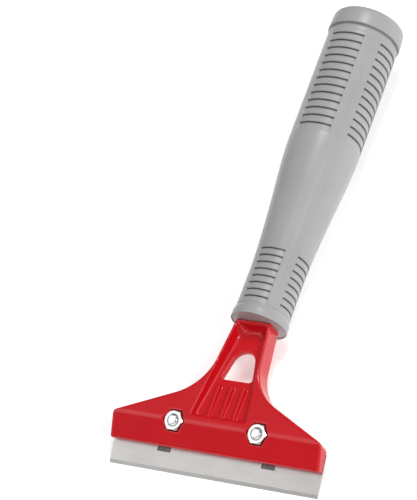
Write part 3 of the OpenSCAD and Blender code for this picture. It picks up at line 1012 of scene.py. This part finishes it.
@dataclass
class Grip:
    """The hollow moulded grip with four ladders of saw-tooth steps at each end.

    The ladders sit deeper than the CAD node's by panel, and the SUNK attribute, 1 at a step's deepest line,
    paints shade there that stands in for the shadow under the step's edge.
    """

    frame: ToolFrame
    length: float = 142.0
    rim_r: float = 12.38
    rim_h: float = 3.4
    waist_r: float = 11.65
    waist_z: float = 24.0
    waist_in: float = 6.0
    barrel_r: float = 15.75
    barrel_z: float = 86.0
    waist_pull: tuple[float, float] = (0.65, 28.0)
    barrel_pull: float = 14.0
    groove: float = 0.9
    wall: float = 3.0
    cavity_low: float = 46.0
    socket_len: float = 41.0
    socket: tuple[float, float] = (7.65, 4.25)
    socket_y: float = -0.8
    hole_r: float = 2.75
    upper: tuple[float, float, int] = (137.0, 3.8, 13)
    lower: tuple[float, float, int] = (31.8, 3.25, 8)
    step_depth: float = 0.5
    step_lip: float = 0.1
    panel: float = 0.12
    edge_w: float = 0.16
    ladder_arc: float = 61.0
    ladders: int = 4
    seam_h: float = 0.09
    band_z: tuple[float, float] = (138.6, 139.7)
    saw_marks: tuple[float, ...] = field(default=(0.0, 0.35, 0.7, 1.0, 2.0, 3.0, 4.5, 6.0))

    def swell(self, z: np.ndarray) -> np.ndarray:
        """Radius of the plain grip at height z.

        Below the waist it falls gently from the rim, from waist to barrel it follows a cubic curve
        with upright ends, and above that it is the barrel's.
        """
        t = np.linspace(0, 1, 200)
        pull_r, pull_z = self.waist_pull
        p = [(self.waist_r, self.waist_z), (self.waist_r + pull_r, self.waist_z + pull_z),
             (self.barrel_r, self.barrel_z - self.barrel_pull), (self.barrel_r, self.barrel_z)]
        r, h = (sum(w * q[i] for w, q in zip(
            ((1 - t) ** 3, 3 * (1 - t) ** 2 * t, 3 * (1 - t) * t * t, t ** 3), p)) for i in (0, 1))
        low = self.waist_r + 0.1 * np.clip((self.waist_z - z) / (self.waist_z - self.waist_in), 0, 1)
        return np.where(z < self.waist_z, low, np.interp(z, h, r))

    def saw(self, z: np.ndarray, ladder: tuple[float, float, int]) -> np.ndarray:
        """How far a ladder stands below the surface at height z: deepest under each step's edge."""
        top, pitch, steps = ladder
        run = (top - z) / pitch
        u = np.mod(run, 1.0) * pitch
        rise = -self.step_depth + (self.step_depth + self.step_lip) * u / pitch
        ease = np.clip(u / self.edge_w, 0, 1)
        sunk = np.minimum(rise - self.panel, 0) * ease * ease * (3 - 2 * ease)
        return np.where((run >= 0) & (run < steps), sunk, 0.0)

    def ladder_rows(self, ladder: tuple[float, float, int]) -> np.ndarray:
        """Heights of the grid's rows in one ladder: close together under each step's edge."""
        top, pitch, steps = ladder
        marks = np.array(self.saw_marks)
        offsets = np.where(marks <= 1, marks * self.edge_w,
                           self.edge_w + (marks - 1) / 5.6 * (pitch - self.edge_w))
        return (top - (np.arange(steps)[:, None] * pitch + offsets[None, :])).ravel()

    def columns(self) -> tuple[np.ndarray, np.ndarray, np.ndarray]:
        """Angles of the grid's columns, with the share of ladder and of seam at each.

        Returns:
            Angles in radians, ladder share and seam share.
        """
        half = self.ladder_arc / 2
        gap = 360 / self.ladders / 2
        right = np.concatenate([
            np.linspace(0, half - 0.9, 11), half + np.array([-0.35, -0.1, 0.15, 0.4]),
            np.linspace(half + 1.6, gap - 1.5, 5), gap - np.array([0.8, 0.4])])
        local = np.concatenate([-right[:0:-1], right])
        share = np.clip((half + 0.15 - np.abs(local)) / 0.4, 0, 1)
        seam = np.zeros(len(local) + 1)
        seam[-1] = 1.0
        local, share = np.append(local, gap), np.append(share, 0.0)
        turns = np.arange(self.ladders) * 2 * gap - 90
        theta = (turns[:, None] + local[None, :]).ravel()
        on_seam = np.array([1.0, 0.0, 1.0, 0.0])[:self.ladders, None] * seam[None, :]
        return np.radians(theta), np.tile(share, self.ladders), on_seam.ravel()

    def outside(self) -> tuple[np.ndarray, np.ndarray]:
        """Heights and radii (rows by columns) up the outside, from the rim to the groove."""
        theta, share, seam = self.columns()
        groove_z = self.length - self.groove
        z = np.concatenate([
            np.arange(self.waist_in, groove_z - 1, 1.6), self.ladder_rows(self.upper),
            self.ladder_rows(self.lower), np.array(self.band_z), np.array(self.band_z) - 0.25,
            groove_z - np.array([0.7, 0.45, 0.2, 0.05])])
        z = np.unique(np.round(np.sort(z), 4))
        r = self.swell(z)
        sunk = self.saw(z, self.upper) + self.saw(z, self.lower)
        chamfer = np.clip((z - groove_z + 0.7) / 0.7, 0, 1) * 0.35
        band = sum(0.07 * np.exp(-((z - b) / 0.12) ** 2) for b in self.band_z)
        seam_rise = self.seam_h * np.clip((z - 8) / 4, 0, 1) * np.clip((136 - z) / 4, 0, 1)
        radii = (r - chamfer - band)[:, None] + sunk[:, None] * share + seam_rise[:, None] * seam
        return z, radii

    def build(self, dresser: Dresser) -> None:
        """Carries the profile round the axis: outside up, over the top, down the bore and the socket."""
        theta = self.columns()[0]
        z, radii = self.outside()
        rim = rounded_loop([(self.rim_r, 0, 0.8), (self.rim_r, self.rim_h, 0.7),
                            (self.waist_r + 0.12, self.rim_h + 1.7, 0.9), (0, 60, 0)])[:-1]
        mouth = rounded_loop([
            (self.barrel_r - 0.45, self.length - self.groove, 0.15),
            (self.barrel_r - self.groove, self.length - self.groove, 0.15),
            (self.barrel_r - self.groove, self.length, 0.3),
            (self.barrel_r - self.wall, self.length, 0.3), (self.barrel_r - self.wall, 90, 0)])
        bore_z = np.arange(self.barrel_z, self.cavity_low + 1, -2.0)
        bore = np.stack([self.swell(bore_z) - self.wall, bore_z], 1)
        floor = np.array([(bore[-1, 0], self.cavity_low)])
        grids = [ring_points(rim[:, 0], rim[:, 1], theta), ring_points(radii, z, theta),
                 ring_points(mouth[:, 0], mouth[:, 1], theta), ring_points(bore[:, 0], bore[:, 1], theta),
                 ring_points(floor[:, 0], floor[:, 1], theta)]
        shift = np.array([0, self.socket_y, 0])
        hole_z = np.array([self.cavity_low, self.socket_len])
        grids.append(ring_points(np.full(2, self.hole_r), hole_z, theta) + shift)
        box_r = np.minimum(self.socket[0] / np.maximum(np.abs(np.cos(theta)), 1e-6),
                           self.socket[1] / np.maximum(np.abs(np.sin(theta)), 1e-6))
        socket_z = np.array([self.socket_len, self.socket_len / 2, 0.0])
        grids.append(ring_points(np.tile(box_r, (3, 1)), socket_z, theta) + shift)
        points = np.concatenate(grids)
        placed = self.frame.place(points.reshape(-1, 3)).reshape(points.shape)
        piece = revolve("handle_grip", placed)
        # Painted-shade mask: how deep each outside point sits in a ladder, times the ladder's share; the
        # plastic paints shade from it.
        depth = np.zeros(points.shape[:2])
        under = -(self.saw(z, self.upper) + self.saw(z, self.lower)) / (self.step_depth + self.panel)
        depth[len(rim):len(rim) + len(z)] = under[:, None] * self.columns()[1]
        piece.data.attributes.new(SUNK, "FLOAT", "POINT").data.foreach_set("value", depth.ravel())
        dresser.dress(piece, "grip", "handle", Slot.GREY_PLASTIC)


@dataclass
class EndCap:
    """The domed end cap with its hollow plug."""

    frame: ToolFrame
    seat: float = 142.0
    height: float = 9.0
    radius: float = 16.4
    taper: float = 0.5
    rounding: float = 2.8
    plug_r: float = 12.67
    plug_wall: float = 2.0
    plug_len: float = 11.0

    def build(self, dresser: Dresser) -> None:
        """Revolves the profile: up the outside, over the top, and the plug below."""
        top, low = self.seat + self.height, self.seat - self.plug_len
        outer = rounded_loop([
            (self.plug_r, low, 0.4), (self.plug_r, self.seat, 0), (self.radius, self.seat, 0.35),
            (self.radius - self.taper, top, self.rounding), (0.4, top, 0)])
        dish = np.array([(r, top) for r in (11.0, 8.0, 5.0, 2.0)])
        inner = rounded_loop([
            (0.4, self.seat, 0), (self.plug_r - self.plug_wall, self.seat, 0.5),
            (self.plug_r - self.plug_wall, low, 0.3)])
        profile = np.vstack([outer[:-1], dish])
        theta = turn_angles(160)
        skin = ring_points(profile[:, 0], profile[:, 1], theta)
        hollow = ring_points(inner[1:, 0], inner[1:, 1], theta)
        grid = np.concatenate([hollow, skin])
        placed = self.frame.place(grid.reshape(-1, 3)).reshape(grid.shape)
        dresser.dress(revolve("cap", placed, closed=False), "end_cap", "cap", Slot.CAP_PLASTIC)


# ---- Flat steel ----


@dataclass
class FlatSteel:
    """The blade and the clamp plate: the blade is the CAD node, the plate a bevelled copy."""

    plate_edge: float = 0.3

    def build(self, frame: dict, dresser: Dresser) -> None:
        """Finishes the blade and makes the plate.

        Args:
            dresser: gives the pieces their finish.
        """
        dresser.finish_node(frame["nodes"]["blade"], Slot.BLADE_STEEL)
        source = frame["nodes"]["clamp_plate"]
        mesh = bpy.data.meshes.new("plate")
        work = bmesh.new()
        work.from_mesh(source.data)
        bmesh.ops.remove_doubles(work, verts=work.verts, dist=1e-6)
        bmesh.ops.dissolve_limit(work, angle_limit=math.radians(1), verts=work.verts, edges=work.edges)
        work.to_mesh(mesh)
        work.free()
        plate = bpy.data.objects.new("plate", mesh)
        bpy.context.scene.collection.objects.link(plate)
        bevel = plate.modifiers.new("edges", "BEVEL")
        bevel.width = self.plate_edge * MM
        bevel.segments = 2
        bevel.limit_method = "ANGLE"
        bevel.angle_limit = math.radians(40)
        dresser.dress(plate, "clamp_plate", "clamp", Slot.DARK_STEEL)


# ---- Stage ----


@dataclass
class Studio:
    """Pale floor, soft lights and the camera."""

    azimuth: float = 50.1
    elevation: float = 47.96
    roll: float = -34.48
    distance: float = 1.1108
    lens: float = 186.25
    aim: tuple[float, float, float] = (-0.0369, -0.0101, 0.015)
    floor_size: float = 6.0

    def build(self) -> None:
        """Makes the floor, the lights, the world and the camera."""
        self.make_floor()
        self.make_world()
        self.make_light("key", (1.10, -0.15, 0.95), 0.32, 9.0)
        self.make_light("left", (-0.9, -0.5, 0.5), 0.4, 0.6)
        self.make_light("front", (0.25, -1.1, 0.8), 0.5, 1.6)
        self.make_light("top", (0.22, 0.55, 1.08), 0.28, 5.0)
        self.make_light("steel", (-0.62, -0.20, 1.02), 0.7, 1.7)
        self.make_camera()
        bpy.context.scene.view_settings.view_transform = "Standard"

    def make_floor(self) -> None:
        """A pale matt floor under the tool."""
        half = self.floor_size / 2
        corners = np.array([(-half, -half, 0), (half, -half, 0), (half, half, 0), (-half, half, 0)], float)
        floor = make_object("floor", corners, [np.array([[0, 1, 2, 3]])])
        shader = Shader("floor")
        floor.data.materials.append(shader.set(Base_Color=(0.92, 0.92, 0.92), Roughness=0.9,
            Emission_Color=(1.0, 1.0, 1.0), Emission_Strength=0.4))
        floor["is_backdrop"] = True

    def make_world(self) -> None:
        """An even pale surround."""
        world = bpy.data.worlds.new("surround")
        world.use_nodes = True
        back = next(n for n in world.node_tree.nodes if n.type == "BACKGROUND")
        back.inputs["Color"].default_value = (1.0, 1.0, 1.0, 1.0)
        back.inputs["Strength"].default_value = 0.2
        bpy.context.scene.world = world

    def make_light(self, name: str, place: tuple[float, float, float], size: float, power: float) -> None:
        """A square soft light that faces the tool.

        Args:
            name: its name.
            place: where it stands, in metres.
            size: its side, in metres.
            power: its power, in watts.
        """
        lamp = bpy.data.lights.new(name, "AREA")
        lamp.size = size
        lamp.energy = power
        light = bpy.data.objects.new(name, lamp)
        light.location = place
        light.rotation_euler = (Vector(self.aim) - Vector(place)).to_track_quat("-Z", "Y").to_euler()
        bpy.context.scene.collection.objects.link(light)

    def make_camera(self) -> None:
        """A long lens above the tool, turned about its own axis by the roll."""
        data = bpy.data.cameras.new("view")
        data.lens = self.lens
        data.sensor_width = 36.0
        data.clip_end = 20.0
        camera = bpy.data.objects.new("view", data)
        az, el = math.radians(self.azimuth), math.radians(self.elevation)
        away = Vector((math.cos(el) * math.sin(az), -math.cos(el) * math.cos(az), math.sin(el)))
        aim = Vector(self.aim)
        turn = (-away).to_track_quat("-Z", "Y").to_matrix().to_4x4()
        camera.matrix_world = (Matrix.Translation(aim + away * self.distance) @ turn
                               @ Matrix.Rotation(math.radians(self.roll), 4, "Z"))
        bpy.context.scene.collection.objects.link(camera)
        bpy.context.scene.camera = camera


def make_finishes(frame: ToolFrame) -> dict[Slot, bpy.types.Material]:
    """Builds one material for each slot."""
    return {
        Slot.RED_PAINT: RedPaint().build(),
        Slot.DARK_STEEL: PlatedMetal(
            "dark_steel", (0.25, 0.25, 0.255), (0.19, 0.19, 0.195), 0.45, 0.8).build(),
        Slot.BLADE_STEEL: GroundSteel(frame).build(),
        Slot.BRIGHT_ZINC: PlatedMetal("bright_zinc", (0.93, 0.93, 0.93), (0.84, 0.85, 0.86), 0.26).build(),
        Slot.ZINC_PLATE: PlatedMetal("zinc_plate", (0.72, 0.73, 0.75), (0.60, 0.61, 0.63), 0.34).build(),
        Slot.GREY_PLASTIC: MouldedPlastic("grey_plastic").build(),
        Slot.CAP_PLASTIC: MouldedPlastic("cap_plastic").build(),
    }


def main() -> dict[str, list[list[float]]]:
    """Loads the frame and builds every piece, the lights and the camera.

    Returns:
        The CAD model's lowest and highest corners.
    """
    logging.basicConfig(level=logging.INFO, format="%(name)s: %(message)s")
    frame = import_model()
    low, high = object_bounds()
    grip_and_cap = Grip.length + EndCap.height
    tool = ToolFrame.from_record(frame["record"], grip_and_cap, Head.bolt_up)
    dresser = Dresser(make_finishes(tool))
    for part in (Head(tool), Hardware(tool), Grip(tool), EndCap(tool)):
        part.build(dresser)
    FlatSteel().build(frame, dresser)
    Studio().build()
    return {"cad": [list(low), list(high)]}


if __name__ == "__main__":
    sizes = main()
    lo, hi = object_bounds()
    sizes["visual"] = [list(lo), list(hi)]
